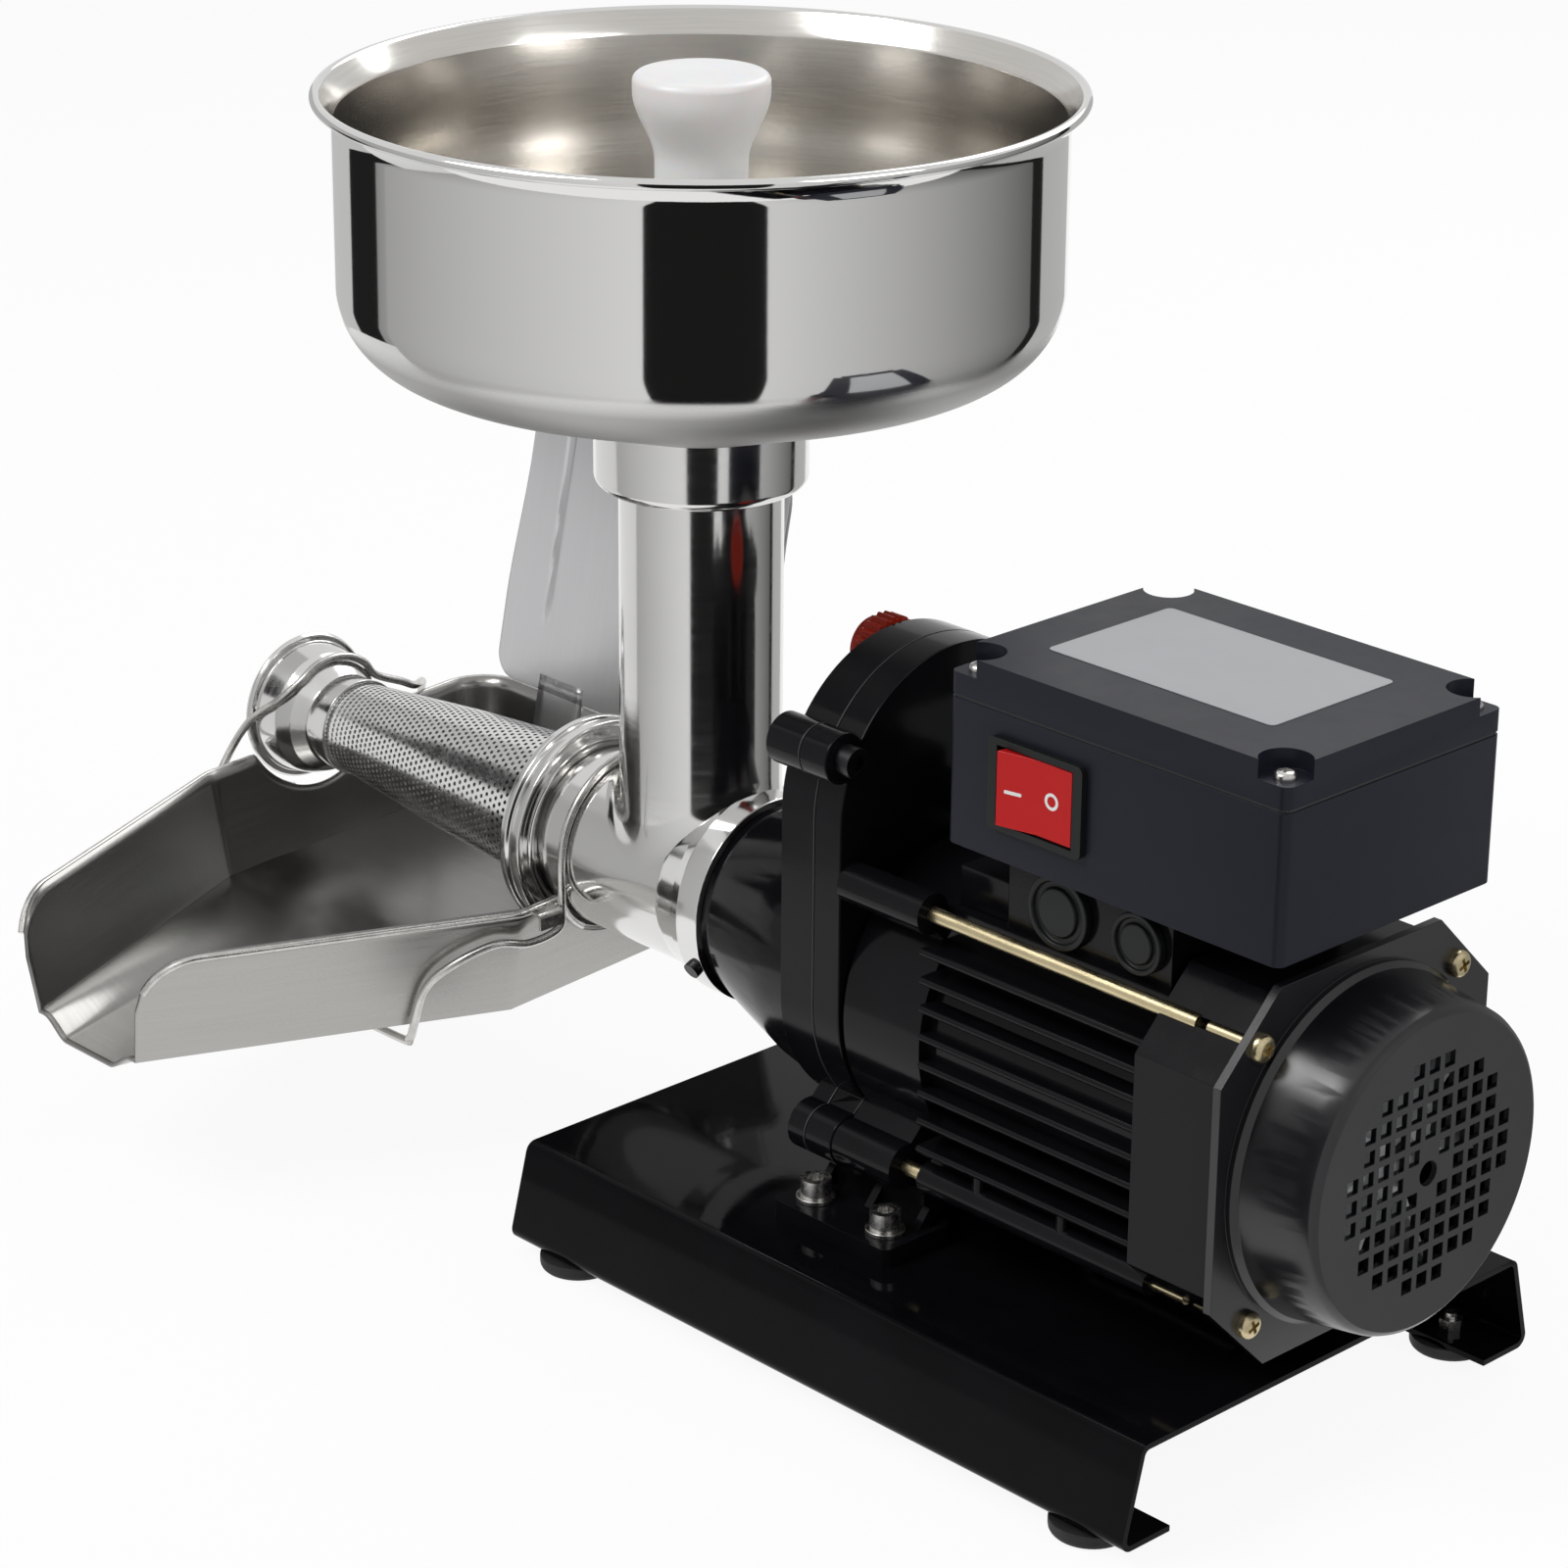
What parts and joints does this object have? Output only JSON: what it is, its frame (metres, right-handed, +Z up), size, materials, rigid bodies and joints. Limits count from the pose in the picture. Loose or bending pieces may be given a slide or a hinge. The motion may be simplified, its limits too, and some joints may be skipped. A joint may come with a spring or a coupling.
{
  "type": "electric tomato press",
  "caption": "Electric tomato press: a geared motor on a steel base drives an auger under a round hopper, through a perforated cone over a drip tray, to an outlet funnel.",
  "frame": {"origin": "on the table, below the middle of the base", "axes": "+X along the machine axis towards the fan, -Y the switch side, +Z up"},
  "size_m": [0.5389, 0.294, 0.3845],
  "materials": {
    "gloss_black": "gloss black enamel",
    "charcoal": "satin, bluish charcoal",
    "black_plastic": "satin",
    "fan_plastic": "matt grey",
    "red_plastic": "gloss",
    "white_plastic": "smooth, slightly clear white",
    "rubber": "matt",
    "gasket": "matt",
    "polished_steel": "mirror polish",
    "satin_steel": "fine brushed",
    "zinc_steel": "bright zinc",
    "yellow_zinc": "yellow zinc",
    "dark_steel": "blackened",
    "ground_steel": "ground",
    "gear_steel": "oiled",
    "lamination": "dull",
    "copper_wire": "varnished copper",
    "bronze": "oiled bronze",
    "cast_alloy": "cast, tumbled"
  },
  "bodies": {
    "machine": {"base_plate": "gloss_black", "rubber_feet": "rubber", "foot_bolts": "zinc_steel", "foot_nuts": "zinc_steel", "motor_foot": "gloss_black", "motor_foot_screws": "zinc_steel", "motor_foot_washers": "zinc_steel", "motor_foot_nuts": "zinc_steel", "gearbox_rear": "gloss_black", "gearbox_front": "gloss_black", "gearbox_gasket": "gasket", "gearbox_screws": "dark_steel", "oil_plug_ring": "rubber", "bayonet_pins": "dark_steel", "output_seal": "rubber", "output_bearings": "ground_steel", "bearing_spacer": "ground_steel", "layshaft_bushes": "bronze", "motor_seal": "rubber", "motor_bearings": "ground_steel", "motor_front_shield": "gloss_black", "stator_housing": "gloss_black", "stator_core": "lamination", "stator_windings": "copper_wire", "rear_end_shield": "gloss_black", "tie_rods": "yellow_zinc", "fan_cowl": "gloss_black", "cowl_screws": "yellow_zinc", "box_pedestal": "gloss_black", "blanking_plugs": "black_plastic", "terminal_box": "charcoal", "box_gasket": "gasket", "box_lid": "charcoal", "lid_screws": "zinc_steel", "run_capacitor": "white_plastic", "cable_gland": "black_plastic", "switch_housing": "black_plastic", "feed_body": "polished_steel", "strainer_ring": "polished_steel", "strainer_cone": "polished_steel", "outlet_funnel": "polished_steel", "drip_tray": "satin_steel", "tray_wire": "zinc_steel", "splash_guard": "satin_steel"},
    "motor_rotor": {"rotor_shaft": "ground_steel", "rotor_core": "lamination", "motor_pinion": "gear_steel", "cooling_fan": "fan_plastic"},
    "layshaft_set": {"layshaft": "ground_steel", "layshaft_gear": "gear_steel", "layshaft_pinion": "gear_steel"},
    "auger_set": {"output_shaft": "ground_steel", "output_gear": "gear_steel", "auger": "cast_alloy"},
    "rocker": {"switch_rocker": "red_plastic"},
    "filler_plug": {"oil_plug": "red_plastic"},
    "bowl": {"hopper": "polished_steel"},
    "plunger": {"pusher": "white_plastic"}
  },
  "joints": [
    {"name": "motor_spin", "type": "hinge", "parent": "machine", "child": "motor_rotor", "pos_m": [0, 0, 0.109], "axis": [1, 0, 0], "continuous": true},
    {"name": "layshaft_spin", "type": "hinge", "parent": "machine", "child": "layshaft_set", "pos_m": [-0.04, 0, 0.172], "axis": [1, 0, 0], "continuous": true},
    {"name": "auger_spin", "type": "hinge", "parent": "machine", "child": "auger_set", "pos_m": [-0.1, 0, 0.109], "axis": [1, 0, 0], "continuous": true},
    {"name": "switch_rock", "type": "hinge", "parent": "machine", "child": "rocker", "pos_m": [0.0522, -0.0435, 0.2077], "axis": [0, 0, -1], "range_deg": [0, 12]},
    {"name": "plug_unscrew", "type": "hinge", "parent": "machine", "child": "filler_plug", "pos_m": [-0.056, 0, 0.212], "axis": [1, 0, 0], "range_deg": [0, 360]},
    {"name": "hopper_lift", "type": "slide", "parent": "machine", "child": "bowl", "axis": [0, 0, 1], "range_m": [0, 0.06]},
    {"name": "pusher_slide", "type": "slide", "parent": "machine", "child": "plunger", "axis": [0, 0, 1], "range_m": [0, 0.25]}
  ],
  "couplings": [
    {"joint": "layshaft_spin", "follows": "motor_spin", "ratio": -0.4},
    {"joint": "auger_spin", "follows": "motor_spin", "ratio": 0.16}
  ]
}
